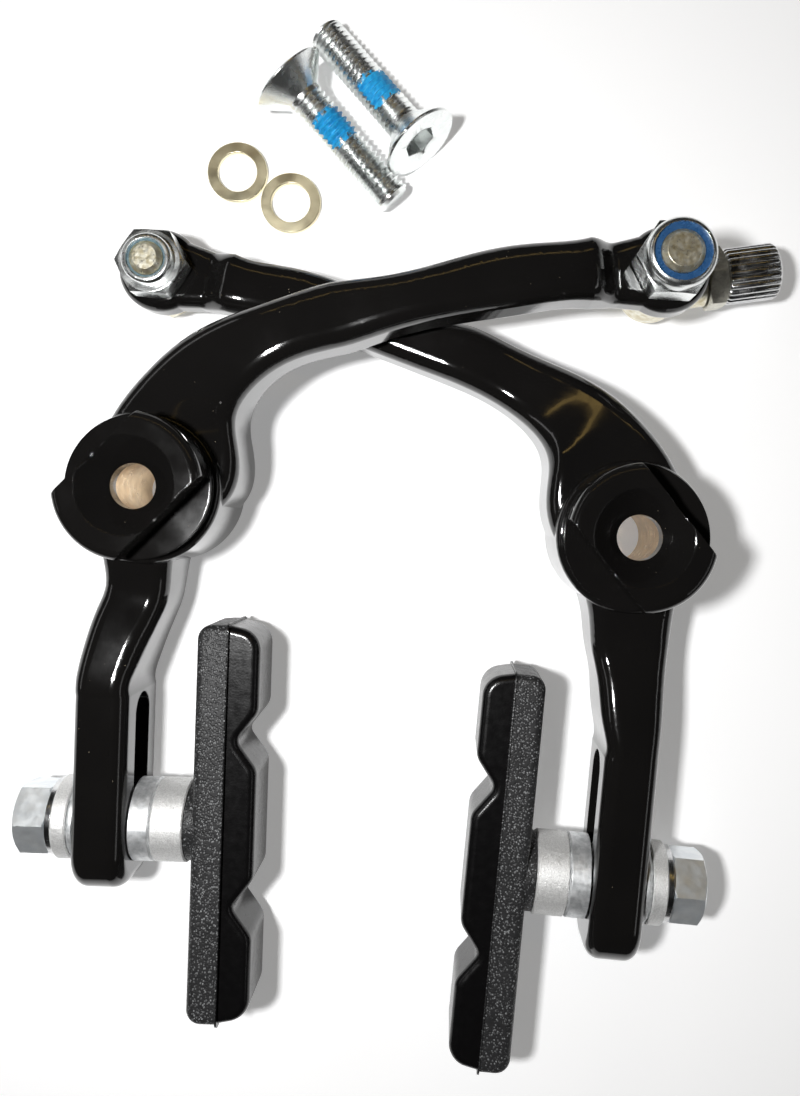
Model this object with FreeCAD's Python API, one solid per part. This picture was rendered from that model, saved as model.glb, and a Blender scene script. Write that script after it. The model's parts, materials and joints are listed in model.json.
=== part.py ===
import FreeCAD, Part
import math
import os

# BMX U-brake lying on its back: two crossed arms, each on its own pivot post.
# Origin midway between the pivots on the back plane, X along the pivot line,
# Y towards the cable ends, Z out of the frame. Millimetres.

Vector = FreeCAD.Vector
X_AXIS = Vector(1, 0, 0)
Y_AXIS = Vector(0, 1, 0)
Z_AXIS = Vector(0, 0, 1)
ORIGIN = Vector(0, 0, 0)

# Pivots
PIVOT_SPACING = 72.0
REST_SWING = 2.15            # both arms lie turned this far anticlockwise, degrees
SLEEVE_BORE = 8.5
SLEEVE_WALL = 1.25
RUNNING_FIT = 0.05           # radial, at every turning fit
FACE_GAP = 0.3               # between faces of pieces that move on each other

# Hub of each arm
HUB_RADIUS = 11.3
HUB_BACK = 0.3
HUB_FRONT = 18.0
HUB_EDGE = 1.0
BEARING_WALL = 1.5

# Return spring
SPRING_WIRE = 1.8
SPRING_CLEARANCE = 0.2
SPRING_TURNS = 3.0
SPRING_PITCH = 2.3
SPRING_LEG = 2.2
LEG_SHARE = 0.97             # the ground legs are this much of the wire's thickness
POCKET_FLOOR = 8.5

# Spring-tension cap
CAP_RADIUS = 10.5
CAP_BASE = 2.0               # round flange below the wrench flats
CAP_HEIGHT = 7.7
CAP_FLATS = 12.6
CAP_FLAT_ANGLE = 48.0        # direction of the flats from the pivot line, degrees
CAP_EDGE = 1.3
CAP_SPIGOT = 1.5             # depth of the sleeve in the cap
SINK_DIAMETER = 14.0

# Mounting bolts and washers
BOLT_DIAMETER = 6.0
BOLT_HOLE = 6.5
BOLT_LENGTH = 25.0
BOLT_HEAD = 13.0
BOLT_LAND = 0.4
BOLT_TIP = 0.6               # chamfer at the bolt's end
SOCKET_FLATS = 5.0
SOCKET_DEPTH = 3.0
WASHER_BORE = 6.4
WASHER_OUTER = 9.8
WASHER_THICK = 1.0

# Blade, with the pad's slot
LEFT_SEAT = (4.3, 51.4, 9.6)    # pad stud outward of and below the pivot, blade's end below the stud
RIGHT_SEAT = (1.75, 53.2, 11.2)
BLADE_LEAN = 1.85            # the blade's top leans outward, degrees
BLADE_THICK = 8.0
BLADE_DEPTH = 16.5
BLADE_ABOVE = 20.0           # straight blade above the stud
BLADE_BLEND = 2.5            # the neck leaves the blade in its direction for this far
BLADE_END_RADIUS = 6.0
BLADE_EDGE = 2.2
SLOT_WIDTH = 6.4
SLOT_ABOVE = 16.5
SLOT_BELOW = 2.0

# Upper arm
EYE_RADIUS = 83.0            # pivot to the cable eye
EYE_ANGLE = 26.25
EYE_BOSS = 6.4
STEP_RUN = 4.2               # length of the sloping step down to a cable plate
STEP_SHARES = (0.25, 0.5, 0.75)
ARM_EDGE = 2.4
EDGE_SHARE = 0.45            # most an edge may take of a section's width or depth
PLATE_EDGE_SHARE = 0.3       # the same, of a cable plate's thickness
SHOULDER_SHARE = 0.9         # plate's width at the eye, as a share of the boss
FRONT_PLATE = (12.5, 19.0)   # back and front of the front arm's cable plate
REAR_PLATE = (4.0, 10.0)

# Pads
PAD_LENGTH = 60.0
PAD_HEIGHT = 12.4
PAD_CARRIER = 4.7
PAD_BLOCK = 4.7
PAD_COLLAR = 1.2
PAD_RISE = 1.0               # pad's middle above its stud
PAD_CORNER = 2.2
PAD_END_SLANT = 1.0
PAD_TIP_RADIUS = 3.4
PAD_EDGE = 1.2
BLOCK_STEP = 0.4             # block lower than the carrier
FLASH_THICK = 0.3            # moulding flash where carrier and block part
FLASH_PROUD = 0.3
NOTCH_PLACE = 12.6
NOTCH_WIDTH = 8.6
NOTCH_DEPTH = 3.2
NOTCH_ROUND = 2.8
PLATE_LENGTH = 40.0          # steel plate moulded into the pad
PLATE_HEIGHT = 7.0
PLATE_THICK = 1.6

# Pad hardware, each piece along the stud
STUD_DIAMETER = 6.0
HARDWARE_DIAMETER = 12.6
COLLAR_INSET = 0.3           # pad's collar inside the washers' rim
THIN_INSET = 0.5             # thin washer inside the others' rim
SEAT_GAP = 0.2               # washers to the blade's faces
TURN_GAP = 0.1               # between flat faces that turn on each other
DOME_THICK = 3.2             # inner domed washer at its rim
SPACER_THICK = 4.9
OUTER_DOME_THICK = 1.0       # outer domed washer at its rim
DISH_THICK = 2.3
CUP_LIP = 0.4                # flat lip round each cup
THIN_THICK = 0.8
NUT_FLATS = 10.0
NUT_RIM_SHARE = 0.98         # end faces of a nut, as a share of its flats
NUT_BEVEL = 0.6              # height of the corner bevel, as a share of the corners' overhang
NUT_HEIGHT = 5.2
STUD_PROUD = 0.4
STUD_CHAMFER = 0.28
BALL_GAP = 0.1               # between the domed washer and its cup
TILT_ROOM = 0.9              # bore room that lets the stud tilt

# Cable fittings, each held by a locking nut: bolt, flats, height of the hexagon,
# height and radius of the collar
STOP_FITTING = (6.0, 10.0, 5.0, 3.0, 4.9)
PINCH_FITTING = (5.0, 9.4, 3.8, 1.8, 3.8)
COLLAR_WALL = 0.6            # collar round the nylon ring
COLLAR_LIP = 0.5             # rolled rim over the nylon ring
COLLAR_ROUND = 0.35          # share of the collar that is rounded over
SHANK_CHAMFER = 0.7
STOP_CHAMFER = 0.5
BOLT_PROUD = 0.5
STOP_RADIUS = 5.0
STOP_REACH = 7.6             # stop's axis to the face of its boss
STOP_BOSS = 4.1
STOP_BACK = 3.2
CABLE_LEVEL = 7.4
BARREL_ANGLE = 11.0          # barrel's direction on the unturned arm, degrees
BARREL_RADIUS = 4.35
BARREL_LENGTH = 8.1
BARREL_FLUTES = 22
FLUTE_DEPTH = 0.35
BARREL_THREAD = 6.0
HOUSING_BORE = 5.1
HOUSING_DEPTH = 4.8
CABLE_BORE = 2.0
LOCK_NUT_THICK = 2.9
LOCK_NUT_FLATS = 8.8
PINCH_HEAD_FLATS = 10.0
PINCH_HEAD = 3.2
PINCH_BACK = 0.4

SLEEVE_RADIUS = SLEEVE_BORE / 2 + SLEEVE_WALL
BEARING_RADIUS = SLEEVE_RADIUS + RUNNING_FIT
POCKET_INNER = BEARING_RADIUS + BEARING_WALL
POCKET_OUTER = POCKET_INNER + SPRING_WIRE + 2 * SPRING_CLEARANCE
SPRING_RADIUS = (POCKET_INNER + POCKET_OUTER) / 2
CAP_BACK = HUB_FRONT + FACE_GAP
CAP_FRONT = CAP_BACK + CAP_HEIGHT
SLEEVE_TOP = CAP_BACK + CAP_SPIGOT
STUD_LEVEL = HUB_BACK + BLADE_DEPTH / 2
BLADE_FRONT = HUB_BACK + BLADE_DEPTH


def cylinder(radius, height, base=ORIGIN, direction=Z_AXIS):
    return Part.makeCylinder(radius, height, base, direction)


def ring(outer, inner, height, base=ORIGIN, direction=Z_AXIS):
    return cylinder(outer, height, base, direction).cut(cylinder(inner, height, base, direction))


def revolved(profile):
    """Solid of revolution about Z of (radius, height) corners."""
    points = [Vector(radius, 0, height) for radius, height in profile]
    return Part.Face(Part.makePolygon(points + points[:1])).revolve(ORIGIN, Z_AXIS, 360)


def polygon_prism(points, height):
    return Part.Face(Part.makePolygon(points + points[:1])).extrude(Vector(0, 0, height))


def hexagon(flats, height, base=0.0):
    corner = flats / math.sqrt(3)
    angles = [math.radians(60 * i) for i in range(6)]
    return polygon_prism([Vector(corner * math.cos(a), corner * math.sin(a), base) for a in angles], height)


def hex_nut(flats, height, bore):
    """Hexagon with both ends chamfered."""
    corner = flats / math.sqrt(3)
    chamfer = corner - flats / 2
    rim = flats / 2 * NUT_RIM_SHARE
    bevel = chamfer * NUT_BEVEL
    blank = revolved([(0, 0), (rim, 0), (corner, bevel),
                      (corner, height - bevel), (rim, height), (0, height)])
    return hexagon(flats, height).common(blank).cut(cylinder(bore / 2, height))


def rounded_wire(corners):
    """Closed wire through (point, radius) corners, each rounded by a tangent arc."""
    starts, edges = [], []
    count = len(corners)
    for i, (point, radius) in enumerate(corners):
        before = (corners[i - 1][0] - point).normalize()
        after = (corners[(i + 1) % count][0] - point).normalize()
        half = before.getAngle(after) / 2
        reach = radius / math.tan(half)
        middle = point + (before + after).normalize() * (radius / math.sin(half) - radius)
        starts.append((point + before * reach, middle, point + after * reach))
    for i, (enter, middle, leave) in enumerate(starts):
        if corners[i][1] > 0:
            edges.append(Part.Arc(enter, middle, leave).toShape())
        edges.append(Part.LineSegment(leave, starts[(i + 1) % count][0]).toShape())
    return Part.Wire(edges)


def along_x(shape):
    """Turns a piece made along Z so that it points along X."""
    turned = shape.copy()
    turned.rotate(ORIGIN, Y_AXIS, 90)
    return turned


def moved(shape, x=0.0, y=0.0, z=0.0):
    shape = shape.copy()
    shape.translate(Vector(x, y, z))
    return shape


def placed(shape, side):
    """Puts a piece of the unturned left arm on its pivot, mirrored for the right side."""
    if side == "right":
        shape = shape.mirror(ORIGIN, X_AXIS)
        pivot = PIVOT_SPACING / 2
    else:
        shape = shape.copy()
        pivot = -PIVOT_SPACING / 2
    shape.rotate(ORIGIN, Z_AXIS, REST_SWING)
    shape.translate(Vector(pivot, 0, 0))
    return shape


def on_blade(shape, seat):
    """Puts a piece made along X at the origin on the stud seat of an unturned left arm."""
    offset, drop, _ = seat
    shape = shape.copy()
    shape.rotate(ORIGIN, Z_AXIS, BLADE_LEAN)
    shape.translate(Vector(-offset, -drop, STUD_LEVEL))
    return shape


def at_eye(shape):
    angle = math.radians(EYE_ANGLE)
    return moved(shape, EYE_RADIUS * math.cos(angle), EYE_RADIUS * math.sin(angle))


# Upper arm, from the hub to the step: share of the eye radius, bow off the straight
# line from pivot to eye, and width
UPPER_FORM = [
    (0.129, 8.8, 16.0),
    (0.190, 11.4, 12.6),
    (0.259, 12.4, 10.4),
    (0.364, 12.4, 9.0),
    (0.490, 10.8, 8.4),
    (0.651, 8.5, 8.2),
    (0.777, 6.1, 8.6),
    (0.868, 3.7, 9.0),
]
FRONT_LEVELS = [(3.2, 18.8), (7.0, 20.8), (11.0, 22.4), (12.8, 23.0),
                (12.8, 23.1), (12.8, 23.1), (12.8, 23.1), (12.8, 23.0)]
REAR_LEVELS = [(0.8, 17.0), (1.0, 15.4), (1.3, 13.2), (1.5, 12.0),
               (1.7, 11.9), (2.6, 11.9), (3.8, 11.9), (4.0, 11.9)]
# Neck between the hub and the blade: share of the way down, middle outward of the pivot,
# width, back and front
LEFT_NECK = [
    (0.28, 1.5, 11.4, 1.2, 16.2),
    (0.46, 1.6, 9.8, 1.4, 14.5),
    (0.58, 2.3, 9.4, 1.3, 14.7),
    (0.80, 4.3, 8.6, 0.6, 16.2),
]
RIGHT_NECK = [
    (0.28, 1.0, 13.5, 1.2, 16.2),
    (0.46, 1.5, 12.0, 1.4, 14.5),
    (0.58, 1.8, 10.8, 1.3, 14.7),
    (0.80, 2.2, 9.2, 0.6, 16.2),
]
HUB_WIDTH_SHARE = 0.85       # arm inside the hub, as a share of the hub's diameter
HUB_STATION = (1.0, 17.2)
HUB_SPINE = Vector(1.0, 0, 0)    # where the arm's spine passes the pivot


def section(center, heading, width, levels, edge):
    """Rounded rectangle across the arm at a point of its spine."""
    back, front = levels
    across = Vector(math.sin(heading), -math.cos(heading), 0)
    edge = min(edge, EDGE_SHARE * width, EDGE_SHARE * (front - back))
    half = across * (width / 2)
    low = Vector(center.x, center.y, back)
    high = Vector(center.x, center.y, front)
    return rounded_wire([(low - half, edge), (low + half, edge), (high + half, edge), (high - half, edge)])


def blade_direction():
    lean = math.radians(BLADE_LEAN)
    return Vector(-math.sin(lean), math.cos(lean), 0)


def blade_point(height, seat):
    offset, drop, _ = seat
    return Vector(-offset, -drop, 0) + blade_direction() * height


def upper_point(share, bow):
    angle = math.radians(EYE_ANGLE)
    along = Vector(math.cos(angle), math.sin(angle), 0)
    return along * (share * EYE_RADIUS) + Vector(-along.y, along.x, 0) * bow


def blade_section(height, seat):
    up = blade_direction()
    levels = (HUB_BACK, BLADE_FRONT)
    return section(blade_point(height, seat), math.atan2(up.y, up.x), BLADE_THICK, levels, BLADE_EDGE)


def arm_stations(levels, neck, seat):
    """Spine points of the arm with width, levels and edge radius, from the blade's top to the step."""
    stations = []
    for height in (BLADE_ABOVE, BLADE_ABOVE + BLADE_BLEND):
        stations.append((blade_point(height, seat), BLADE_THICK, (HUB_BACK, BLADE_FRONT), BLADE_EDGE))
    top = blade_point(BLADE_ABOVE, seat)
    for share, outward_by, width, back, front in reversed(neck):
        stations.append((Vector(-outward_by, top.y * share, 0), width, (back, front), ARM_EDGE))
    stations.append((HUB_SPINE, 2 * HUB_RADIUS * HUB_WIDTH_SHARE, HUB_STATION, ARM_EDGE))
    for (share, bow, width), level in zip(UPPER_FORM, levels):
        stations.append((upper_point(share, bow), width, level, ARM_EDGE))
    return stations


def blade(seat):
    """Straight blade with a rounded lower end and rounded rims, up to where the neck starts."""
    half = BLADE_DEPTH / 2
    bottom = -seat[2]
    outline = rounded_wire([(Vector(0, bottom, -half), BLADE_END_RADIUS),
                            (Vector(0, bottom, half), BLADE_END_RADIUS),
                            (Vector(0, BLADE_ABOVE, half), 0.0),
                            (Vector(0, BLADE_ABOVE, -half), 0.0)])
    solid = moved(Part.Face(outline).extrude(Vector(BLADE_THICK, 0, 0)), -BLADE_THICK / 2)
    rims = []
    for edge in solid.Edges:
        box = edge.BoundBox
        if box.XLength < 0.001 and box.YMin < BLADE_ABOVE - 0.001:
            rims.append(edge)
    return on_blade(solid.makeFillet(BLADE_EDGE, rims), seat)


def arm_loft(levels, neck, seat):
    """Neck and upper arm in one sweep of sections, and the straight blade below it."""
    stations = arm_stations(levels, neck, seat)
    spine = Part.BSplineCurve()
    spine.interpolate([station[0] for station in stations])
    wires = [blade_section(BLADE_ABOVE, seat)]
    for center, width, level, edge in stations[1:]:
        tangent = spine.tangent(spine.parameter(center))[0]
        wires.append(section(center, math.atan2(tangent.y, tangent.x), width, level, edge))
    return Part.makeLoft(wires, True, False).fuse(blade(seat)), wires[-1], stations[-1]


def eye_plate(step_wire, step_station, plate):
    """Smooth step off the arm's end and the flat plate round the cable eye."""
    back, front = plate
    start, width, level, edge = step_station
    eye = upper_point(1.0, 0.0)
    ahead = (eye - start).normalize()
    heading = math.atan2(ahead.y, ahead.x)
    wires = [step_wire]
    for share in STEP_SHARES:
        ease = share * share * (3 - 2 * share)
        eased = [here + (there - here) * ease for here, there in zip(level, plate)]
        wires.append(section(start + ahead * (STEP_RUN * share), heading, width, eased, edge))
    edge = min(edge, PLATE_EDGE_SHARE * (front - back))
    foot = section(start + ahead * STEP_RUN, heading, width, plate, edge)
    shoulder = section(eye, heading, 2 * EYE_BOSS * SHOULDER_SHARE, plate, edge)
    boss = cylinder(EYE_BOSS, front - back, Vector(eye.x, eye.y, back))
    boss = boss.makeFillet(edge, [e for e in boss.Edges if e.Curve.TypeId == "Part::GeomCircle"])
    step = Part.makeLoft(wires + [foot], True, False)
    return [step, Part.makeLoft([foot, shoulder], True, True), boss]


def pad_slot():
    """Long hole through the blade that the pad's stud slides in."""
    wide = 3 * BLADE_THICK
    length = SLOT_ABOVE + SLOT_BELOW
    ends = []
    for y in (-SLOT_BELOW, SLOT_ABOVE):
        ends.append(cylinder(SLOT_WIDTH / 2, wide, Vector(-wide / 2, y, 0), X_AXIS))
    middle = Part.makeBox(wide, length, SLOT_WIDTH, Vector(-wide / 2, -SLOT_BELOW, -SLOT_WIDTH / 2))
    return middle.fuse(ends)


def spring_leg_place():
    """Where the spring's lower leg enters the arm, and its upper leg the cap."""
    return Vector(SPRING_RADIUS, 0, 0)


def arm(levels, plate, fitting, neck, seat):
    loft, step_wire, step_station = arm_loft(levels, neck, seat)
    hub = cylinder(HUB_RADIUS, HUB_FRONT - HUB_BACK, Vector(0, 0, HUB_BACK))
    hub = hub.makeFillet(HUB_EDGE, [e for e in hub.Edges if e.Curve.TypeId == "Part::GeomCircle"])
    body = loft.fuse(eye_plate(step_wire, step_station, plate) + [hub])
    leg = spring_leg_place()
    leg_hole = cylinder(SPRING_WIRE / 2 + RUNNING_FIT, SPRING_LEG + FACE_GAP,
                        Vector(leg.x, leg.y, POCKET_FLOOR - SPRING_LEG - FACE_GAP))
    eye = upper_point(1.0, 0.0)
    cuts = [
        cylinder(BEARING_RADIUS, HUB_FRONT * 2, Vector(0, 0, -1)),
        ring(POCKET_OUTER, POCKET_INNER, HUB_FRONT, Vector(0, 0, POCKET_FLOOR)),
        cylinder(CAP_RADIUS + FACE_GAP, CAP_FRONT, Vector(0, 0, HUB_FRONT)),
        leg_hole,
        cylinder(fitting[0] / 2 + RUNNING_FIT, CAP_FRONT * 2, Vector(eye.x, eye.y, -1)),
        on_blade(pad_slot(), seat),
    ]
    return body.cut(cuts).removeSplitter()


def sleeve():
    return ring(SLEEVE_RADIUS, SLEEVE_BORE / 2, SLEEVE_TOP)


def spring():
    """Torsion spring: a coil with one leg down into the arm and one up into the cap."""
    wire = SPRING_WIRE / 2
    coil_height = SPRING_PITCH * SPRING_TURNS
    base = POCKET_FLOOR + wire + SPRING_CLEARANCE
    helix = Part.makeHelix(SPRING_PITCH, coil_height, SPRING_RADIUS)
    slope = SPRING_PITCH / (2 * math.pi * SPRING_RADIUS)
    start = Part.Wire(Part.makeCircle(wire, Vector(SPRING_RADIUS, 0, 0), Vector(0, 1, slope)))
    coil = moved(Part.Wire(helix).makePipeShell([start], True, True), 0, 0, base)
    leg = spring_leg_place()
    straight = wire * LEG_SHARE
    lower_length = SPRING_LEG + wire + SPRING_CLEARANCE
    lower = cylinder(straight, lower_length, Vector(leg.x, leg.y, POCKET_FLOOR - SPRING_LEG))
    top = base + coil_height
    upper = cylinder(straight, CAP_BACK + SPRING_LEG / 2 - top, Vector(leg.x, leg.y, top))
    knuckles = [Part.makeSphere(wire, Vector(leg.x, leg.y, z)) for z in (base, top)]
    return coil.fuse([lower, upper] + knuckles)


def tension_cap():
    """Flanged cap with two wrench flats, countersunk for the mounting bolt."""
    rise = CAP_FRONT - CAP_BACK
    blank = cylinder(CAP_RADIUS, rise, Vector(0, 0, CAP_BACK))
    blank = blank.makeFillet(CAP_EDGE, [e for e in blank.Edges if e.BoundBox.ZMin > CAP_FRONT - CAP_EDGE])
    corner = Vector(-2 * CAP_RADIUS, CAP_FLATS / 2, CAP_BACK + CAP_BASE)
    flat = Part.makeBox(4 * CAP_RADIUS, CAP_RADIUS, rise, corner)
    other = flat.copy()
    other.rotate(ORIGIN, Z_AXIS, 180)
    for cutter in (flat, other):
        cutter.rotate(ORIGIN, Z_AXIS, CAP_FLAT_ANGLE)
    sink = (SINK_DIAMETER - BOLT_HOLE) / 2
    leg = spring_leg_place()
    return blank.cut([
        flat,
        other,
        Part.makeCone(BOLT_HOLE / 2, SINK_DIAMETER / 2, sink, Vector(0, 0, CAP_FRONT - sink)),
        cylinder(BOLT_HOLE / 2, rise, Vector(0, 0, CAP_BACK)),
        cylinder(BEARING_RADIUS, CAP_SPIGOT, Vector(0, 0, CAP_BACK)),
        cylinder(SPRING_WIRE / 2 + RUNNING_FIT, SPRING_LEG / 2 + FACE_GAP, Vector(leg.x, leg.y, CAP_BACK)),
    ])


def block_outline():
    """Plan of the pad's block, X from the carrier towards the rim, Y along the pad."""
    half = PAD_LENGTH / 2
    tip = half - PAD_END_SLANT
    corners = [(Vector(0, half, 0), 0.0), (Vector(0, -half, 0), 0.0)]
    corners.append((Vector(PAD_BLOCK, -tip, 0), PAD_TIP_RADIUS))
    for place in (-NOTCH_PLACE, NOTCH_PLACE):
        corners.append((Vector(PAD_BLOCK, place - NOTCH_WIDTH / 2, 0), NOTCH_ROUND))
        corners.append((Vector(PAD_BLOCK - NOTCH_DEPTH, place, 0), NOTCH_ROUND / 2))
        corners.append((Vector(PAD_BLOCK, place + NOTCH_WIDTH / 2, 0), NOTCH_ROUND))
    corners.append((Vector(PAD_BLOCK, tip, 0), PAD_TIP_RADIUS))
    return rounded_wire(corners)


def carrier_outline():
    half = PAD_LENGTH / 2
    return rounded_wire([(Vector(0, half, 0), PAD_CORNER), (Vector(0, -half, 0), PAD_CORNER),
                         (Vector(PAD_CARRIER, -half, 0), 0.0), (Vector(PAD_CARRIER, half, 0), 0.0)])


def moulding(outline, height, parting):
    """Outline raised to a height about the middle plane, all rims rounded but those at the parting."""
    solid = moved(Part.Face(outline).extrude(Vector(0, 0, height)), 0, 0, -height / 2)
    rims = []
    for edge in solid.Edges:
        box = edge.BoundBox
        at_parting = abs(box.XMin - parting) < 0.001 and box.XLength < 0.001
        if box.ZLength < 0.001 and not at_parting:
            rims.append(edge)
    return solid.makeFillet(PAD_EDGE, rims)


def parting_flash():
    """Thin seam that stands proud all round between carrier and block."""
    y = PAD_LENGTH / 2 + FLASH_PROUD
    z = PAD_HEIGHT / 2 + FLASH_PROUD
    seam = rounded_wire([(Vector(0, *corner), PAD_EDGE) for corner in ((-y, -z), (y, -z), (y, z), (-y, z))])
    return moved(Part.Face(seam).extrude(Vector(FLASH_THICK, 0, 0)), PAD_CARRIER - FLASH_THICK / 2)


COLLAR_RADIUS = HARDWARE_DIAMETER / 2 - COLLAR_INSET
THIN_RADIUS = HARDWARE_DIAMETER / 2 - THIN_INSET
INNER_SEAT = BLADE_THICK / 2 + SEAT_GAP
SPACER_START = INNER_SEAT + DOME_THICK
PAD_BACK = SPACER_START + SPACER_THICK + TURN_GAP + PAD_COLLAR
DISH_START = INNER_SEAT + OUTER_DOME_THICK
THIN_START = DISH_START + DISH_THICK + TURN_GAP
NUT_START = THIN_START + THIN_THICK
STUD_END = NUT_START + NUT_HEIGHT + STUD_PROUD


def pad():
    carrier = moulding(carrier_outline(), PAD_HEIGHT, PAD_CARRIER)
    block = moved(moulding(block_outline(), PAD_HEIGHT - 2 * BLOCK_STEP, 0.0), PAD_CARRIER)
    collar = cylinder(COLLAR_RADIUS, PAD_COLLAR + PAD_CARRIER / 2, Vector(-PAD_COLLAR, -PAD_RISE, 0), X_AXIS)
    return moved(carrier.fuse([block, parting_flash(), collar]), PAD_BACK, PAD_RISE).cut(pad_stud())


def pad_stud():
    """Steel plate moulded into the pad, with its threaded stud."""
    plate = Part.makeBox(PLATE_THICK, PLATE_LENGTH, PLATE_HEIGHT,
                         Vector(PAD_BACK + PAD_CARRIER / 2, -PLATE_LENGTH / 2, -PLATE_HEIGHT / 2))
    rod = cylinder(STUD_DIAMETER / 2, PAD_BACK + PAD_CARRIER / 2 + STUD_END, Vector(-STUD_END, 0, 0), X_AXIS)
    rod = rod.makeChamfer(STUD_CHAMFER, [e for e in rod.Edges if e.BoundBox.XMax < 0.01 - STUD_END])
    return plate.fuse(rod)


def ball_radius(rim):
    """Radius, about the blade's centre, of a dome whose cup starts this far out along the stud."""
    return math.hypot(rim, HARDWARE_DIAMETER / 2 - CUP_LIP)


def domed_washer(thick):
    """Washer flat on the blade, with a dome about the blade's centre on its far side."""
    ball = ball_radius(INNER_SEAT + thick)
    disc = cylinder(HARDWARE_DIAMETER / 2, ball, Vector(INNER_SEAT, 0, 0), X_AXIS)
    bore = cylinder(STUD_DIAMETER / 2 + TILT_ROOM, ball, Vector(INNER_SEAT, 0, 0), X_AXIS)
    return disc.common(Part.makeSphere(ball)).cut(bore)


def cup_washer(start, thick):
    """Washer hollowed to sit on a dome, so that the stud can tilt with it."""
    blank = cylinder(HARDWARE_DIAMETER / 2, thick, Vector(start, 0, 0), X_AXIS)
    blank = blank.makeChamfer(CUP_LIP / 2, [e for e in blank.Edges if e.BoundBox.XLength < 0.001])
    bore = cylinder(STUD_DIAMETER / 2 + RUNNING_FIT, thick, Vector(start, 0, 0), X_AXIS)
    return blank.cut([Part.makeSphere(ball_radius(start) + BALL_GAP), bore])


def outward(shape):
    """Turns a piece of the blade's inner side round to its outer side."""
    return shape.mirror(ORIGIN, X_AXIS)


def outer_washer():
    washer = ring(THIN_RADIUS, STUD_DIAMETER / 2 + RUNNING_FIT, THIN_THICK, Vector(THIN_START, 0, 0), X_AXIS)
    return outward(washer)


def pad_nut():
    nut = along_x(hex_nut(NUT_FLATS, NUT_HEIGHT, STUD_DIAMETER + 2 * RUNNING_FIT))
    return outward(moved(nut, NUT_START))


def locking_nut(base, fitting):
    """Hexagon nut with a rounded collar that holds a nylon ring."""
    bolt, flats, height, collar, radius = fitting
    bore = bolt + 2 * RUNNING_FIT
    top = height + collar
    dome = cylinder(radius, top - height / 2, Vector(0, 0, height / 2))
    dome = dome.makeFillet(collar * COLLAR_ROUND, [e for e in dome.Edges if e.BoundBox.ZMin > top - 0.01])
    seat = Vector(0, 0, height + COLLAR_LIP)
    ring_radius = radius - COLLAR_WALL
    nut = hex_nut(flats, height, bore).fuse(dome).cut([
        cylinder(bore / 2, top),
        cylinder(ring_radius, collar - 2 * COLLAR_LIP, seat),
        cylinder(ring_radius - COLLAR_LIP / 2, collar, seat),
    ])
    return at_eye(moved(nut, 0, 0, base))


def locking_insert(base, fitting):
    bolt, _, height, collar, radius = fitting
    insert = ring(radius - COLLAR_WALL, bolt / 2 + RUNNING_FIT, collar - 2 * COLLAR_LIP)
    return at_eye(moved(insert, 0, 0, base + height + COLLAR_LIP))


def fitting_shank(base, plate_front, fitting):
    """Threaded shank of a cable fitting, up through its plate and locking nut."""
    bolt, _, height, collar, _ = fitting
    top = plate_front + FACE_GAP + height + collar + BOLT_PROUD
    shank = cylinder(bolt / 2, top - base, Vector(0, 0, base))
    return shank.makeChamfer(SHANK_CHAMFER, [e for e in shank.Edges if e.BoundBox.ZMin > top - 0.01])


def barrel_frame(shape):
    """Puts a piece made along X from the stop's axis onto the cable line."""
    shape = shape.copy()
    shape.rotate(ORIGIN, Z_AXIS, BARREL_ANGLE)
    return at_eye(moved(shape, 0, 0, CABLE_LEVEL))


def cable_stop():
    """Swivelling stop under the front arm's eye, with a threaded boss for the barrel adjuster."""
    front = FRONT_PLATE[0] - FACE_GAP
    post = cylinder(STOP_RADIUS, front - STOP_BACK, Vector(0, 0, STOP_BACK))
    post = post.makeChamfer(STOP_CHAMFER, [e for e in post.Edges if e.Curve.TypeId == "Part::GeomCircle"])
    stop = post.fuse(fitting_shank(front - 1, FRONT_PLATE[1], STOP_FITTING))
    boss = cylinder(STOP_BOSS, STOP_REACH, ORIGIN, X_AXIS)
    bore = cylinder(BARREL_THREAD / 2 + RUNNING_FIT, 4 * STOP_RADIUS, Vector(-2 * STOP_RADIUS, 0, 0), X_AXIS)
    return at_eye(stop).fuse(barrel_frame(boss)).cut(barrel_frame(bore))


def adjuster_lock_nut():
    nut = hex_nut(LOCK_NUT_FLATS, LOCK_NUT_THICK, BARREL_THREAD + 2 * RUNNING_FIT)
    return barrel_frame(moved(along_x(nut), STOP_REACH + FACE_GAP))


def barrel_adjuster():
    """Fluted barrel with a hollow threaded shank and a socket for the cable housing."""
    start = STOP_REACH + FACE_GAP + LOCK_NUT_THICK + FACE_GAP
    crests = []
    for i in range(2 * BARREL_FLUTES):
        radius = BARREL_RADIUS - FLUTE_DEPTH * (i % 2)
        angle = math.pi * i / BARREL_FLUTES
        crests.append(Vector(radius * math.cos(angle), radius * math.sin(angle), 0))
    edge = 2 * FLUTE_DEPTH
    rim = BARREL_RADIUS - edge
    envelope = revolved([(0, 0), (rim, 0), (BARREL_RADIUS, edge), (BARREL_RADIUS, BARREL_LENGTH - edge),
                         (rim, BARREL_LENGTH), (0, BARREL_LENGTH)])
    head = moved(polygon_prism(crests, BARREL_LENGTH).common(envelope), 0, 0, start)
    shank = cylinder(BARREL_THREAD / 2, start + STOP_RADIUS, Vector(0, 0, -STOP_RADIUS))
    mouth = start + BARREL_LENGTH - HOUSING_DEPTH
    barrel = head.fuse(shank).cut([
        cylinder(CABLE_BORE / 2, start + BARREL_LENGTH + STOP_RADIUS, Vector(0, 0, -STOP_RADIUS)),
        cylinder(HOUSING_BORE / 2, HOUSING_DEPTH, Vector(0, 0, mouth)),
    ])
    return barrel_frame(along_x(barrel))


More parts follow.
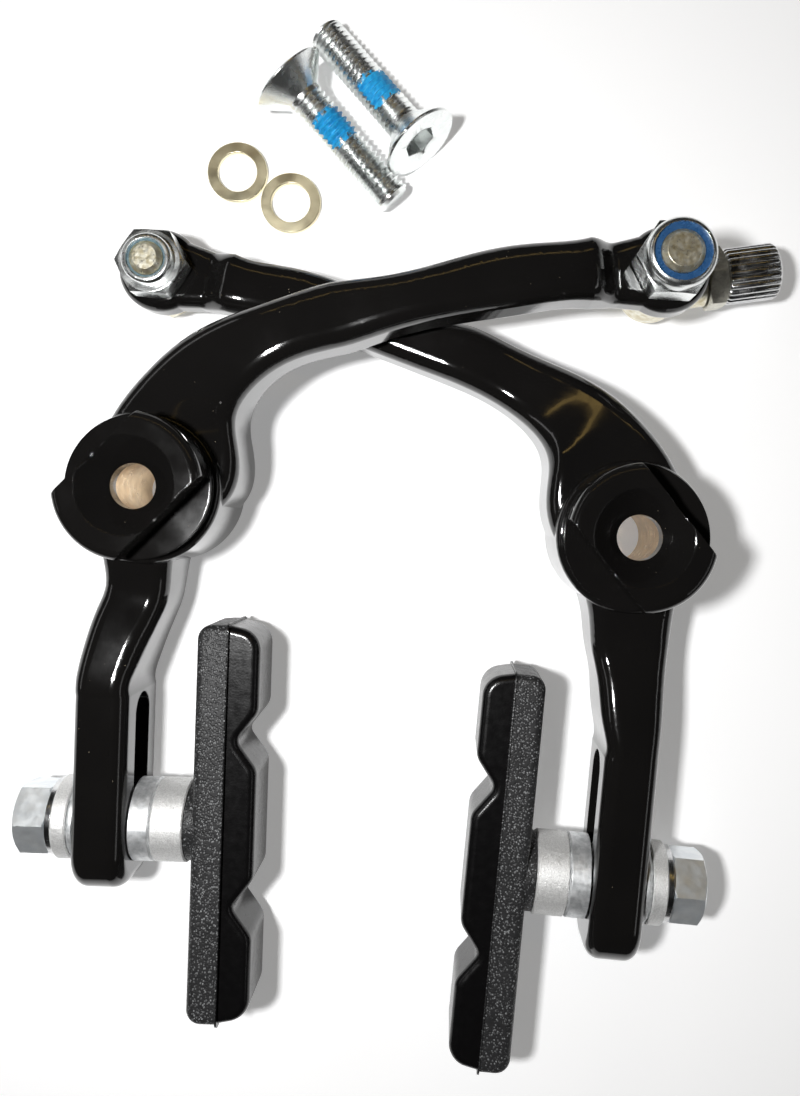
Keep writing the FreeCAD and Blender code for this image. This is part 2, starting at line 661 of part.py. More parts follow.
def pinch_bolt():
    """Bolt under the rear arm's eye, cross-drilled for the cable."""
    head = moved(hex_nut(PINCH_HEAD_FLATS, PINCH_HEAD, PINCH_FITTING[0]), 0, 0, PINCH_BACK)
    head.rotate(ORIGIN, Z_AXIS, 30)
    bolt = head.fuse(fitting_shank(PINCH_BACK, REAR_PLATE[1], PINCH_FITTING))
    wide = 4 * PINCH_HEAD_FLATS
    hole = cylinder(CABLE_BORE / 2, wide, Vector(-wide / 2, 0, PINCH_BACK + PINCH_HEAD / 2), X_AXIS)
    return at_eye(bolt.cut(hole))


def mounting_bolt():
    """Countersunk bolt, head face at the origin and tip along Z."""
    head, shank = BOLT_HEAD / 2, BOLT_DIAMETER / 2
    bolt = revolved([(0, 0), (head, 0), (head, BOLT_LAND), (shank, BOLT_LAND + head - shank),
                     (shank, BOLT_LENGTH - BOLT_TIP), (shank - BOLT_TIP, BOLT_LENGTH), (0, BOLT_LENGTH)])
    return bolt.cut(hexagon(SOCKET_FLATS, SOCKET_DEPTH))


def laid_bolt(head, direction):
    """Bolt at rest on its head's rim and its tip, pointing along a direction in degrees."""
    drop = BOLT_HEAD / 2 - BOLT_DIAMETER / 2
    tilt = math.atan2(drop, BOLT_LENGTH - BOLT_TIP - BOLT_LAND)
    bolt = along_x(mounting_bolt())
    bolt.rotate(ORIGIN, Y_AXIS, math.degrees(tilt))
    rim = BOLT_HEAD / 2 * math.cos(tilt) + BOLT_LAND * math.sin(tilt)
    bolt.rotate(ORIGIN, Z_AXIS, direction)
    return moved(bolt, head[0], head[1], rim)


# Loose bolts and washers: head or centre on the table, and the way each bolt points
LAID_BOLTS = [((-1.5, 58.5), 135.0), ((-23.6, 66.7), -41.5)]
LAID_WASHERS = [(-31.4, 53.0), (-22.2, 48.9)]


def build():
    parts = {}
    sides = [("left", FRONT_LEVELS, FRONT_PLATE, STOP_FITTING, LEFT_NECK, LEFT_SEAT),
             ("right", REAR_LEVELS, REAR_PLATE, PINCH_FITTING, RIGHT_NECK, RIGHT_SEAT)]
    for side, levels, plate, fitting, neck, seat in sides:
        pieces = {
            "arm": arm(levels, plate, fitting, neck, seat),
            "pivot_sleeve": sleeve(),
            "return_spring": spring(),
            "tension_cap": tension_cap(),
        }
        hardware = {
            "pad": pad(),
            "pad_stud": pad_stud(),
            "inner_dome_washer": domed_washer(DOME_THICK),
            "inner_spacer": cup_washer(SPACER_START, SPACER_THICK),
            "outer_dome_washer": outward(domed_washer(OUTER_DOME_THICK)),
            "outer_cup_washer": outward(cup_washer(DISH_START, DISH_THICK)),
            "outer_washer": outer_washer(),
            "pad_nut": pad_nut(),
        }
        pieces.update({name: on_blade(shape, seat) for name, shape in hardware.items()})
        for name, shape in pieces.items():
            parts[side + "_" + name] = placed(shape, side)
    stop_seat = FRONT_PLATE[1] + FACE_GAP
    pinch_seat = REAR_PLATE[1] + FACE_GAP
    parts["cable_stop"] = placed(cable_stop(), "left")
    parts["stop_nut"] = placed(locking_nut(stop_seat, STOP_FITTING), "left")
    parts["stop_nut_insert"] = placed(locking_insert(stop_seat, STOP_FITTING), "left")
    parts["barrel_adjuster"] = placed(barrel_adjuster(), "left")
    parts["adjuster_lock_nut"] = placed(adjuster_lock_nut(), "left")
    parts["pinch_bolt"] = placed(pinch_bolt(), "right")
    parts["pinch_nut"] = placed(locking_nut(pinch_seat, PINCH_FITTING), "right")
    parts["pinch_nut_insert"] = placed(locking_insert(pinch_seat, PINCH_FITTING), "right")
    parts["mounting_bolts"] = Part.makeCompound([laid_bolt(head, turn) for head, turn in LAID_BOLTS])
    washer = ring(WASHER_OUTER / 2, WASHER_BORE / 2, WASHER_THICK)
    parts["mounting_washers"] = Part.makeCompound([moved(washer, x, y) for x, y in LAID_WASHERS])
    return parts


def main():
    os.makedirs("parts", exist_ok=True)
    for name, shape in build().items():
        shape.exportStep("parts/" + name + ".step")
        print(name, shape.isValid(), len(shape.Solids), round(shape.Volume, 1))


main()
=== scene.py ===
import json
import math

import bmesh
import bpy
import numpy as np
from mathutils import Matrix, Vector


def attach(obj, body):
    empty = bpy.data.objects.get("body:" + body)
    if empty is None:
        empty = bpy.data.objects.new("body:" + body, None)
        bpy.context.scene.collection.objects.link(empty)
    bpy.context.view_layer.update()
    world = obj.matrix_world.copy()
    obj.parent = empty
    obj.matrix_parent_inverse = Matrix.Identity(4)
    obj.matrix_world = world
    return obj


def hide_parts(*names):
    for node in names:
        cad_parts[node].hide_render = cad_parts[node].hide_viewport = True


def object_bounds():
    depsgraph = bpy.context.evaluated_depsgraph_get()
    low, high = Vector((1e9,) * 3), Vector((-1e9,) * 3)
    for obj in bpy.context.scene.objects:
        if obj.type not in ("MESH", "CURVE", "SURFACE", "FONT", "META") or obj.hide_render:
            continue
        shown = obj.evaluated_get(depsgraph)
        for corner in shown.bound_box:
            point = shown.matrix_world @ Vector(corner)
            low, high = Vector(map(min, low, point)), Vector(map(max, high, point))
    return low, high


# Looks of the BMX U-brake. Lengths are metres, in the frame of the solids.
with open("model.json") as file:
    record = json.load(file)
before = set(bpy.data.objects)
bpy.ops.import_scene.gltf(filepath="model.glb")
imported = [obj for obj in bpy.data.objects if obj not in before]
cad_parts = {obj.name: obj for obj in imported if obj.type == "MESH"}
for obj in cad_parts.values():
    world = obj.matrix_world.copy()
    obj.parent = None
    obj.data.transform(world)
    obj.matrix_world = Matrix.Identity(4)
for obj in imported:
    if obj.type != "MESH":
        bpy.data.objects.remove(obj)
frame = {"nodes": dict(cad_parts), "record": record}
CAD_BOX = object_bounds()
MM = 0.001
SIDES = ("left", "right")

# Camera: straight above the brake, close, with a wide lens
IMAGE_SIZE = (800, 1096)
FOCAL_PIXELS = 940.0
NADIR_PIXEL = (450.0, 520.0)         # image point straight below the camera
CAMERA_PLACE = (9.07 * MM, -0.23 * MM, 155 * MM)
CAMERA_TURN = math.radians(5.82)
SENSOR = 36.0

# Light
FLOOR_LIFT = 0.28
# Height and light of the horizon and of the ceiling, in the order that a range node takes them
WORLD_FADE = (0.15, 0.75, 0.42, 0.09)
RANGE_SOCKETS = ("From Min", "From Max", "To Min", "To Max")
FLOOR_HALF = 0.6

# Pads
PAD_PARTING = 18.3 * MM              # blade's middle to the pad's parting line
PARTING_BLUR = 0.1 * MM

# Lathed pieces
COLUMNS = 60                         # points round a piece
SMOOTH_ANGLE = math.radians(35)      # sharper edges stay sharp
THREAD_PITCH = 1.0 * MM
THREAD_DEPTH = 0.58 * MM
THREAD_STEPS = 8                     # rows to each turn of a thread
RUN_OUT = 0.4 * MM                   # plain stretch before a thread starts
WASHER_EDGE = 0.12 * MM

# Loose screws
SCREW_HEAD = 6.5 * MM                # radius
SCREW_SHANK = 3.0 * MM               # radius
SCREW_SOCKET = (5.0 * MM, 3.0 * MM)  # across flats, and depth
SCREW_LAND = 0.4 * MM                # straight rim of the head
SCREW_EDGE = 0.2 * MM
SCREW_TIP = 0.6 * MM
PATCH = (8.2 * MM, 13.2 * MM)        # blue patch along the screw, from the head's face
PATCH_SPREAD = math.radians(72)      # how far it reaches to each side of its middle
PATCH_LEANS = (-0.3, 0.3)            # its middle off the top of each screw, radians

# Barrel adjuster
FLUTES = 24
FLUTE_COLUMNS = 8                    # points round each flute
BARREL_EDGE = 0.7 * MM
BARREL_SHANK = 3.0 * MM              # radius
FLUTE_DEPTH = 0.42 * MM
HOUSING_SOCKET = (2.55 * MM, 4.8 * MM)    # radius and depth
CABLE_BORE = 1.0 * MM                # radius


class Shader:
    """Node material with a Principled surface, built up a step at a time."""

    def __init__(self, name, values):
        self.material = bpy.data.materials.new(name)
        self.material.use_nodes = True
        self.tree = self.material.node_tree
        self.surface = self.tree.nodes["Principled BSDF"]
        self.place = self.tree.nodes.new("ShaderNodeTexCoord").outputs["Object"]
        for socket, value in values.items():
            self.surface.inputs[socket].default_value = value
        self.normal = None

    def node(self, kind, **settings):
        made = self.tree.nodes.new("ShaderNode" + kind)
        for name, value in settings.items():
            setattr(made, name, value)
        return made

    def feed(self, target, source):
        """Sets a socket to a value or links it to an output."""
        if isinstance(source, bpy.types.NodeSocket):
            self.tree.links.new(source, target)
        else:
            target.default_value = source

    def stretched(self, scale, turn=0.0):
        mapping = self.node("Mapping")
        self.feed(mapping.inputs["Vector"], self.place)
        mapping.inputs["Scale"].default_value = scale
        mapping.inputs["Rotation"].default_value = (0, 0, turn)
        return mapping.outputs["Vector"]

    def noise(self, size, detail=3.0, roughness=0.5, place=None):
        """Noise whose features are about this size in metres."""
        texture = self.node("TexNoise")
        self.feed(texture.inputs["Vector"], place or self.place)
        texture.inputs["Scale"].default_value = 1 / size
        texture.inputs["Detail"].default_value = detail
        texture.inputs["Roughness"].default_value = roughness
        return texture.outputs["Fac"]

    def cells(self, size):
        """Distance to the nearest of scattered points about this far apart."""
        texture = self.node("TexVoronoi", feature="F1")
        self.feed(texture.inputs["Vector"], self.place)
        texture.inputs["Scale"].default_value = 1 / size
        return texture.outputs["Distance"]

    def spread(self, source, low, high, to_low=0.0, to_high=1.0):
        ranged = self.node("MapRange", clamp=True)
        self.feed(ranged.inputs["Value"], source)
        for name, value in zip(RANGE_SOCKETS, (low, high, to_low, to_high)):
            ranged.inputs[name].default_value = value
        return ranged.outputs["Result"]

    def times(self, first, second):
        math_node = self.node("Math", operation="MULTIPLY")
        self.feed(math_node.inputs[0], first)
        self.feed(math_node.inputs[1], second)
        return math_node.outputs["Value"]

    def mixed(self, share, first, second):
        """Mixes two colours; either may be an output."""
        mix = self.node("Mix", data_type="RGBA")
        self.feed(mix.inputs["Factor"], share)
        for socket, source in zip(("A", "B"), (first, second)):
            target = [s for s in mix.inputs if s.name == socket and s.type == "RGBA"][0]
            self.feed(target, source if isinstance(source, bpy.types.NodeSocket) else (*source, 1.0))
        return [s for s in mix.outputs if s.type == "RGBA"][0]

    def color(self, source):
        self.feed(self.surface.inputs["Base Color"], source)

    def rough(self, source):
        self.feed(self.surface.inputs["Roughness"], source)

    def soften_edges(self, radius):
        """Rounds sharp edges in the shading."""
        bevel = self.node("Bevel", samples=4)
        bevel.inputs["Radius"].default_value = radius
        self.normal = bevel.outputs["Normal"]
        self.feed(self.surface.inputs["Normal"], self.normal)

    def along(self, start, direction):
        """Distance of each point from a place, measured along a direction."""
        offset = self.node("VectorMath", operation="SUBTRACT")
        self.feed(offset.inputs[0], self.place)
        offset.inputs[1].default_value = start
        dot = self.node("VectorMath", operation="DOT_PRODUCT")
        self.feed(dot.inputs[0], offset.outputs["Vector"])
        dot.inputs[1].default_value = direction
        return dot.outputs["Value"]

    def bump(self, height, depth):
        """Adds relief of this depth in metres on top of what is there."""
        bump = self.node("Bump")
        bump.inputs["Strength"].default_value = 1.0
        bump.inputs["Distance"].default_value = depth
        self.feed(bump.inputs["Height"], height)
        if self.normal:
            self.feed(bump.inputs["Normal"], self.normal)
        self.normal = bump.outputs["Normal"]
        self.feed(self.surface.inputs["Normal"], self.normal)


def gloss_black(name):
    """Thick gloss paint: deep black, slight waviness, dust and hairline scuffs."""
    shader = Shader(name, {"Specular IOR Level": 0.5, "Coat Weight": 0.35, "Coat Roughness": 0.03})
    shader.soften_edges(0.3 * MM)
    dust = shader.spread(shader.cells(1.5 * MM), 0.06, 0.035)
    dust = shader.times(dust, shader.spread(shader.noise(12 * MM), 0.52, 0.62))
    scuffs = shader.noise(0.5 * MM, detail=1, place=shader.stretched((1.0, 0.06, 0.3), turn=0.4))
    scuffs = shader.times(shader.spread(scuffs, 0.76, 0.80), shader.spread(shader.noise(15 * MM), 0.56, 0.66))
    paint = shader.mixed(shader.noise(20 * MM), (0.004, 0.0038, 0.0038), (0.009, 0.0083, 0.0078))
    paint = shader.mixed(shader.times(scuffs, 0.2), paint, (0.18, 0.17, 0.16))
    shader.color(shader.mixed(shader.times(dust, 0.6), paint, (0.42, 0.36, 0.26)))
    shader.rough(shader.spread(shader.noise(6 * MM, detail=5), 0.35, 0.7, 0.06, 0.13))
    shader.bump(shader.noise(3.2 * MM, detail=1), 0.015 * MM)
    return shader.material


def plated(name, light, dark, rough, blotch=2.5 * MM, turned=0.0, metal=1.0):
    """Plated metal: cloudy colour, uneven gloss, a fine grain and, where asked, turning rings."""
    shader = Shader(name, {"Metallic": metal})
    shader.soften_edges(0.12 * MM)
    clouds = shader.noise(blotch, detail=5, roughness=0.6)
    shader.color(shader.mixed(shader.spread(clouds, 0.35, 0.65), dark, light))
    shader.rough(shader.spread(shader.noise(blotch * 0.6, detail=4), 0.3, 0.7, *rough))
    shader.bump(shader.noise(0.25 * MM, detail=2), 0.012 * MM)
    shader.bump(shader.noise(blotch * 0.5, detail=2), 0.015 * MM)
    if turned:
        rings = shader.noise(turned, detail=2, place=shader.stretched((0.02, 0.02, 1.0)))
        shader.bump(rings, 0.05 * MM)
    return shader.material


def frosted(name):
    """Blasted pale alloy with a sparkling grain."""
    shader = Shader(name, {"Metallic": 0.6})
    grain = shader.noise(0.22 * MM, detail=3, roughness=0.7)
    shader.color(shader.mixed(shader.spread(grain, 0.35, 0.65), (0.70, 0.70, 0.69), (0.93, 0.93, 0.92)))
    shader.rough(shader.spread(shader.noise(0.5 * MM), 0.35, 0.65, 0.42, 0.6))
    shader.bump(grain, 0.06 * MM)
    return shader.material


def pad_rubber(name, seat, inward):
    """Moulded brake rubber: a grained carrier with painted glints, bright specks mixed into its colour, and a
    satin block beyond the parting.
    """
    shader = Shader(name, {"Specular IOR Level": 0.4})
    reach = shader.along(seat, inward)
    carrier = shader.spread(reach, PAD_PARTING + PARTING_BLUR, PAD_PARTING - PARTING_BLUR)
    # Painted glints: small bright specks on the carrier that stand in for highlights
    painted_glints = shader.times(shader.spread(shader.cells(0.38 * MM), 0.42, 0.22),
                          shader.spread(shader.noise(0.7 * MM), 0.4, 0.66))
    base = shader.mixed(shader.noise(9 * MM), (0.014, 0.014, 0.0145), (0.026, 0.026, 0.027))
    base = shader.mixed(carrier, (0.0035, 0.0033, 0.0035), base)
    # The painted glints go into the carrier's colour here, as painted highlights
    shader.color(shader.mixed(shader.times(shader.times(painted_glints, carrier), 0.6), base, (0.42, 0.43, 0.44)))
    patchy = shader.spread(shader.noise(1.2 * MM, detail=4), 0.3, 0.7, 0.85, 1.15)
    shader.rough(shader.times(patchy, shader.spread(carrier, 0.0, 1.0, 0.24, 0.44)))
    shader.bump(shader.times(shader.spread(shader.cells(0.38 * MM), 0.1, 0.6), carrier), 0.07 * MM)
    shader.bump(shader.noise(0.3 * MM), 0.012 * MM)
    return shader.material


def nylon(name, pale, deep):
    shader = Shader(name, {"Transmission Weight": 0.25, "IOR": 1.5})
    shader.color(shader.mixed(shader.noise(1.5 * MM), deep, pale))
    shader.rough(shader.spread(shader.noise(0.8 * MM), 0.3, 0.7, 0.2, 0.38))
    shader.bump(shader.noise(0.6 * MM), 0.03 * MM)
    return shader.material


def threadlocker(name):
    """Dried blue patch, dabbed on and slightly lumpy."""
    shader = Shader(name, {"Specular IOR Level": 0.4})
    dabs = shader.spread(shader.noise(0.7 * MM), 0.3, 0.7)
    shader.color(shader.mixed(dabs, (0.01, 0.25, 0.58), (0.04, 0.50, 0.86)))
    shader.rough(shader.spread(shader.noise(0.5 * MM), 0.3, 0.7, 0.32, 0.55))
    shader.bump(shader.noise(0.4 * MM, detail=4), 0.12 * MM)
    return shader.material


def white_floor(name):
    """Matt white board that keeps the shadows; a lift in sight and reflections makes it white."""
    shader = Shader(name, {"Roughness": 0.9, "Specular IOR Level": 0.0})
    shader.color(shader.mixed(shader.noise(60 * MM), (0.89, 0.89, 0.895), (0.91, 0.91, 0.91)))
    path = shader.node("LightPath")
    seen = shader.node("Math", operation="MAXIMUM")
    seen_clear = shader.node("Math", operation="MAXIMUM")
    shader.feed(seen.inputs[0], path.outputs["Is Camera Ray"])
    shader.feed(seen.inputs[1], path.outputs["Is Glossy Ray"])
    shader.feed(seen_clear.inputs[0], seen.outputs[0])
    shader.feed(seen_clear.inputs[1], path.outputs["Is Transmission Ray"])
    shader.surface.inputs["Emission Color"].default_value = (1, 1, 1, 1)
    shader.feed(shader.surface.inputs["Emission Strength"], shader.times(seen_clear.outputs[0], FLOOR_LIFT))
    return shader.material


# Materials by the record's slot names, then those of a few pieces of their own
MATERIALS = {
    "gloss_black": gloss_black("gloss_black"),
    "bright_zinc": plated("bright_zinc", (0.88, 0.91, 0.92), (0.76, 0.80, 0.83), (0.32, 0.46),
                          metal=0.85),
    "frosted_alloy": frosted("frosted_alloy"),
    "chrome": plated("chrome", (0.76, 0.76, 0.76), (0.58, 0.59, 0.60), (0.14, 0.3)),
    "dull_zinc": plated("dull_zinc", (0.82, 0.80, 0.70), (0.52, 0.50, 0.43), (0.36, 0.5), 0.9 * MM,
                        metal=0.8),
    "yellow_zinc": plated("yellow_zinc", (0.94, 0.87, 0.62), (0.84, 0.75, 0.51), (0.28, 0.4), 5 * MM),
    "brass": plated("brass", (0.78, 0.60, 0.38), (0.62, 0.46, 0.28), (0.24, 0.4), turned=0.5 * MM),
    "spring_steel": plated("spring_steel", (0.36, 0.35, 0.34), (0.22, 0.21, 0.20), (0.3, 0.45)),
    "blue_nylon": nylon("blue_nylon", (0.04, 0.14, 0.32), (0.015, 0.06, 0.18)),
}
BLUE_PATCH = threadlocker("threadlocker")
SCREW_ZINC = plated("screw_zinc", (0.93, 0.95, 0.94), (0.82, 0.85, 0.84), (0.2, 0.32), 4 * MM)
MOTTLED_ZINC = plated("mottled_zinc", (0.93, 0.94, 0.95), (0.62, 0.64, 0.65), (0.4, 0.58), 1.1 * MM,
                      metal=0.8)
GOLDEN_ZINC = plated("golden_zinc", (0.90, 0.88, 0.76), (0.62, 0.55, 0.36), (0.26, 0.42), 0.9 * MM,
                     metal=0.9)
GREY_NYLON = nylon("grey_nylon", (0.22, 0.32, 0.36), (0.09, 0.15, 0.18))


def joint(name):
    """Place and axis of a joint at rest."""
    found = [j for j in frame["record"]["behaviour"]["joints"] if j["name"] == name][0]
    return Vector(found["pos_m"]), Vector(found["axis"])


def dress():
    """Gives every solid its material."""
    own = {"pinch_nut_insert": GREY_NYLON, "stop_nut": SCREW_ZINC, "pinch_nut": SCREW_ZINC,
           "pinch_bolt": GOLDEN_ZINC, "cable_stop": GOLDEN_ZINC}
    for side in SIDES:
        for place in ("inner", "outer"):
            own[side + "_" + place + "_dome_washer"] = MOTTLED_ZINC
        own[side + "_pad"] = pad_rubber(side + "_pad_rubber", *joint(side + "_pad_swivel"))
    for subpart in frame["record"]["subparts"]:
        node = subpart["node"]
        mesh = frame["nodes"][node].data
        mesh.materials.clear()
        mesh.materials.append(own.get(node) or MATERIALS[subpart["material_slot"]])


def islands(node):
    """Vertex places of each separate solid of a node, from left to right."""
    solid = bmesh.new()
    solid.from_mesh(frame["nodes"][node].data)
    bmesh.ops.remove_doubles(solid, verts=solid.verts, dist=1e-6)
    left = set(solid.verts)
    found = []
    while left:
        group, edge = set(), [left.pop()]
        while edge:
            vertex = edge.pop()
            group.add(vertex)
            near = {e.other_vert(vertex) for e in vertex.link_edges} - group
            edge += near
            group |= near
        left -= group
        found.append(np.array([v.co for v in group]))
    solid.free()
    return sorted(found, key=lambda points: points[:, 0].mean())


def long_axis(points):
    """Head point, direction and length of a bolt along its long axis, from its wide end."""
    middle = points.mean(axis=0)
    axis = np.linalg.svd(points - middle, full_matrices=False)[2][0]
    along = (points - middle) @ axis
    spread = np.linalg.norm(points - middle - np.outer(along, axis), axis=1)
    widest = along[spread > 0.95 * spread.max()].mean()
    if widest > 0:
        axis, along = -axis, -along
    return Vector(middle + axis * along.min()), Vector(axis), along.max() - along.min()


def lathe(rows, name, material, columns=COLUMNS, looped=False):
    """Mesh from rows of points round an axis: each row is a height and a radius, or radii by angle.
    A looped one joins its last row to its first, and others are closed at both ends."""
    work = bmesh.new()
    rings = []
    for height, radius in rows:
        ring = []
        for column in range(columns):
            angle = 2 * math.pi * column / columns
            reach = radius(angle) if callable(radius) else radius
            ring.append(work.verts.new((reach * math.cos(angle), reach * math.sin(angle), height)))
        rings.append(ring)
    pairs = list(zip(rings, rings[1:]))
    if looped:
        pairs.append((rings[-1], rings[0]))
    else:
        work.faces.new(rings[0][::-1])
        work.faces.new(rings[-1])
    for low, high in pairs:
        for column in range(columns):
            ahead = (column + 1) % columns
            work.faces.new((low[column], low[ahead], high[ahead], high[column]))
    bmesh.ops.recalc_face_normals(work, faces=work.faces)
    mesh = bpy.data.meshes.new(name)
    work.to_mesh(mesh)
    work.free()
    for polygon in mesh.polygons:
        polygon.use_smooth = True
    mesh.set_sharp_from_angle(angle=SMOOTH_ANGLE)
    mesh.materials.append(material)
    return mesh


def hex_reach(flats):
    """Distance to a hexagon's outline at each angle."""
    def reach(angle):
        return flats / 2 / math.cos((angle + math.pi / 6) % (math.pi / 3) - math.pi / 6)
    return reach


def thread_rows(start, end, outer):
    """Rows of a screw thread that runs out at both ends."""
    rows = []
    count = int((end - start) / THREAD_PITCH * THREAD_STEPS)
    for step in range(count + 1):
        height = start + (end - start) * step / count
        fade = min(1.0, (height - start) / THREAD_PITCH, (end - height) / THREAD_PITCH)
        rows.append((height, thread_reach(height, outer, THREAD_DEPTH * max(fade, 0.0))))
    return rows


def thread_reach(height, outer, depth):
    def reach(angle):
        phase = (height / THREAD_PITCH - angle / (2 * math.pi)) % 1.0
        slope = abs(2 * phase - 1)
        return outer - depth * min(1.0, max(0.0, 1.25 * slope - 0.08))
    return reach


def screw(length):
    """Countersunk screw, head face at the origin, thread along Z."""
    flats, depth = SCREW_SOCKET
    cone_end = SCREW_LAND + SCREW_HEAD - SCREW_SHANK
    sink = 0.35 * MM
    socket = [(depth + 0.7 * MM, 0.02 * MM), (depth, hex_reach(flats * 0.98)), (sink, hex_reach(flats)),
              (0.0, flats / math.sqrt(3) + sink)]
    head = [(0.0, SCREW_HEAD - SCREW_EDGE), (SCREW_EDGE, SCREW_HEAD), (SCREW_LAND, SCREW_HEAD),
            (cone_end, SCREW_SHANK)]
    thread = thread_rows(cone_end + RUN_OUT, length - SCREW_TIP, SCREW_SHANK)
    tip = [(length, SCREW_SHANK - SCREW_TIP), (length, 0.3 * SCREW_SHANK)]
    rows = socket + head + thread + tip
    return lathe(rows, "screw", SCREW_ZINC)


def piece(mesh, name, body, node):
    """Object from a mesh, riding on a body and standing for a CAD node."""
    made = bpy.data.objects.new(name, mesh)
    bpy.context.scene.collection.objects.link(made)
    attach(made, body)
    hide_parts(node)


def joined(meshes, name):
    """One mesh from several (mesh, placement) pairs."""
    whole = bmesh.new()
    for mesh, placement in meshes:
        mesh.transform(placement)
        whole.from_mesh(mesh)
    result = bpy.data.meshes.new(name)
    whole.to_mesh(result)
    whole.free()
    for material in meshes[0][0].materials:
        result.materials.append(material)
    return result


def facing(direction, place):
    """Placement that takes Z to a direction at a place."""
    return Matrix.Translation(place) @ direction.to_track_quat("Z", "Y").to_matrix().to_4x4()


def patched(mesh, placement, lean):
    """Paints the dabbed blue patch on a screw's upper face, a little to one side."""
    mesh.materials.append(BLUE_PATCH)
    up = (placement.to_3x3().inverted() @ Vector((0, 0, 1))).to_2d()
    top = math.atan2(up.y, up.x) + lean
    for polygon in mesh.polygons:
        center = polygon.center
        turn = (math.atan2(center.y, center.x) - top + math.pi) % (2 * math.pi) - math.pi
        ragged = 0.3 * MM * math.sin(9 * turn) + 0.25 * MM * math.sin(23 * turn)
        on_thread = math.hypot(center.x, center.y) > 2 * MM
        if on_thread and PATCH[0] + ragged < center.z < PATCH[1] + ragged and abs(turn) < PATCH_SPREAD:
            polygon.material_index = 1


def mounting_screws():
    screws = []
    for points, lean in zip(islands("mounting_bolts"), PATCH_LEANS):
        head_place, direction, length = long_axis(points)
        mesh = screw(length)
        placement = facing(direction, head_place)
        patched(mesh, placement, lean)
        screws.append((mesh, placement))
    piece(joined(screws, "mounting_screws"), "mounting_screws", "pivots", "mounting_bolts")


def mounting_rings():
    """Loose washers with broken edges."""
    rings = []
    edge = WASHER_EDGE
    for points in islands("mounting_washers"):
        low, high = points.min(axis=0), points.max(axis=0)
        middle = (low + high) / 2
        reach = np.hypot(points[:, 0] - middle[0], points[:, 1] - middle[1])
        inner, outer, thick = reach.min(), reach.max(), high[2] - low[2]
        rows = [(0, inner + edge), (0, outer - edge), (edge, outer), (thick - edge, outer),
                (thick, outer - edge), (thick, inner + edge), (thick - edge, inner), (edge, inner)]
        mesh = lathe(rows, "washer", MATERIALS["yellow_zinc"], looped=True)
        rings.append((mesh, Matrix.Translation((middle[0], middle[1], low[2]))))
    piece(joined(rings, "mounting_rings"), "mounting_rings", "pivots", "mounting_washers")


def fluted(outer, depth):
    """Distance to a fluted outline: round ribs with narrow grooves between."""
    def reach(angle):
        return outer - depth * (1 - abs(math.sin(FLUTES * angle / 2)) ** 0.6)
    return reach


def barrel():
    """Barrel adjuster with round ribs, a bored end for the housing and a threaded shank."""
    place, axis = joint("barrel_turn")
    points = np.array([v.co for v in frame["nodes"]["barrel_adjuster"].data.vertices])
    along = (points - np.array(place)) @ np.array(axis)
    spread = np.linalg.norm(points - np.array(place) - np.outer(along, np.array(axis)), axis=1)
    outer = spread.max()
    start = along[spread > 0.9 * outer].min() - BARREL_EDGE
    end, tail = along.max(), along.min()
    rim = outer - BARREL_EDGE
    shallow = 0.6 * FLUTE_DEPTH
    socket, depth = HOUSING_SOCKET
    lip = 0.3 * MM
    shank = [(tail, CABLE_BORE), (tail, BARREL_SHANK - BARREL_EDGE)]
    shank += thread_rows(tail + RUN_OUT, start - 0.02 * MM, BARREL_SHANK)
    ribs = [(start, BARREL_SHANK), (start, rim),
            (start + 0.35 * MM, fluted(outer - 0.25 * MM, shallow)),
            (start + BARREL_EDGE, fluted(outer, FLUTE_DEPTH)),
            (end - BARREL_EDGE, fluted(outer, FLUTE_DEPTH)),
            (end - lip, fluted(outer - 0.2 * MM, shallow)), (end, rim)]
    hollow = [(end, socket + lip), (end - lip, socket), (end - depth, socket), (end - depth, CABLE_BORE)]
    rows = shank + ribs + hollow
    mesh = lathe(rows, "barrel", MATERIALS["chrome"], columns=FLUTES * FLUTE_COLUMNS, looped=True)
    mesh.transform(facing(axis, place))
    piece(mesh, "barrel", "barrel_adjuster", "barrel_adjuster")


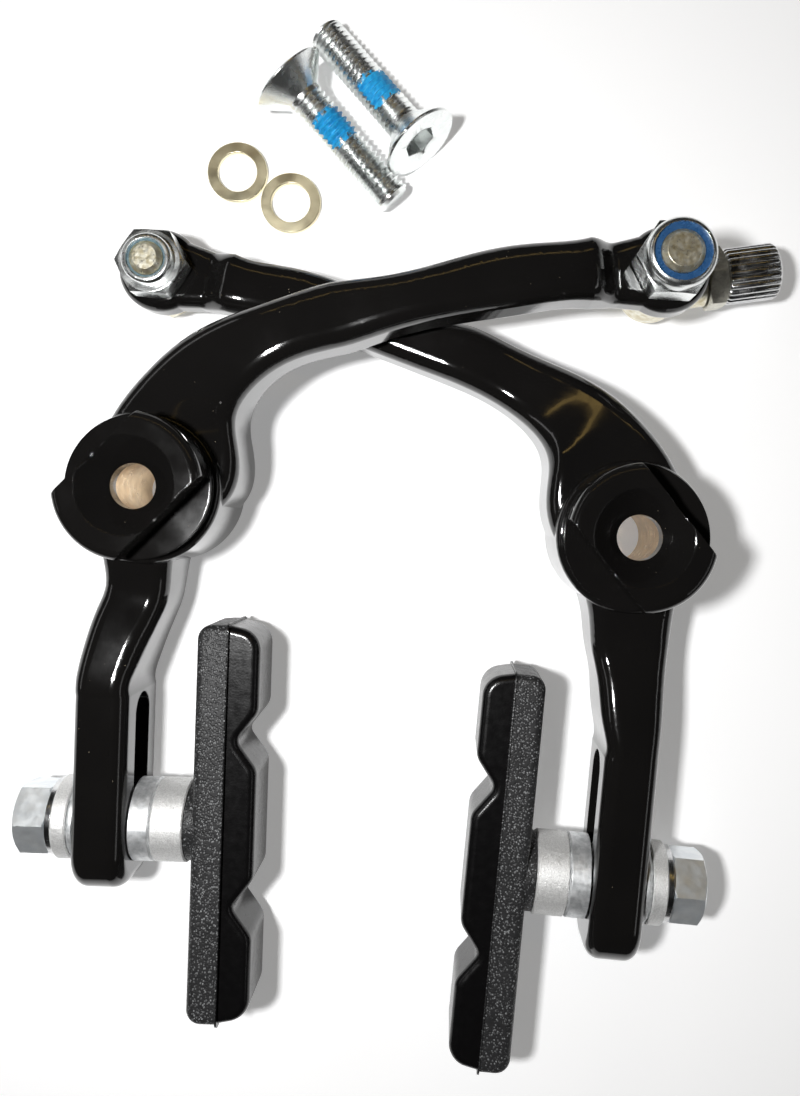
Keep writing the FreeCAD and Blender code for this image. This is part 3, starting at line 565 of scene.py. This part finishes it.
def light(name, place, size, power, color=(1, 1, 1)):
    """Rectangular lamp that points at the middle of the brake."""
    lamp = bpy.data.lights.new(name, "AREA")
    lamp.shape = "RECTANGLE"
    lamp.size, lamp.size_y = size
    lamp.energy = power
    lamp.color = color
    made = bpy.data.objects.new(name, lamp)
    made.location = place
    made.rotation_euler = (-Vector(place)).to_track_quat("-Z", "Y").to_euler()
    made.visible_camera = False
    bpy.context.scene.collection.objects.link(made)


def lights():
    light("key", (-0.052, -0.005, 0.205), (0.018, 0.018), 0.47)
    light("left_strip", (-0.42, 0.10, 0.26), (0.5, 0.05), 0.12)
    light("right_strip", (0.45, -0.05, 0.30), (0.5, 0.04), 0.12)
    light("warm_strip", (0.02, 0.30, 0.45), (0.6, 0.012), 0.06, (1.0, 0.68, 0.22))
    world = bpy.data.worlds.new("studio")
    bpy.context.scene.world = world
    world.use_nodes = True
    tree = world.node_tree
    background = tree.nodes["Background"]
    place = tree.nodes.new("ShaderNodeTexCoord")
    split = tree.nodes.new("ShaderNodeSeparateXYZ")
    ramp = tree.nodes.new("ShaderNodeMapRange")
    tree.links.new(place.outputs["Generated"], split.inputs["Vector"])
    tree.links.new(split.outputs["Z"], ramp.inputs["Value"])
    for name, value in zip(RANGE_SOCKETS, WORLD_FADE):
        ramp.inputs[name].default_value = value
    tree.links.new(ramp.outputs["Result"], background.inputs["Strength"])


def floor():
    mesh = bpy.data.meshes.new("floor")
    level = CAD_BOX[0][2]
    corners = [(-1, -1), (1, -1), (1, 1), (-1, 1)]
    places = [(x * FLOOR_HALF, y * FLOOR_HALF, level) for x, y in corners]
    mesh.from_pydata(places, [], [(0, 1, 2, 3)])
    mesh.materials.append(white_floor("white_board"))
    board = bpy.data.objects.new("floor", mesh)
    bpy.context.scene.collection.objects.link(board)


def camera():
    data = bpy.data.cameras.new("camera")
    width, height = IMAGE_SIZE
    data.sensor_width = SENSOR
    data.lens = SENSOR * FOCAL_PIXELS / height
    data.shift_x = (width / 2 - NADIR_PIXEL[0]) / height
    data.shift_y = (NADIR_PIXEL[1] - height / 2) / height
    data.clip_start = 1 * MM
    made = bpy.data.objects.new("camera", data)
    made.location = CAMERA_PLACE
    made.rotation_euler = (0, 0, CAMERA_TURN)
    bpy.context.scene.collection.objects.link(made)
    bpy.context.scene.camera = made


dress()
mounting_screws()
mounting_rings()
barrel()
floor()
lights()
camera()
bpy.context.scene.view_settings.view_transform = "Standard"
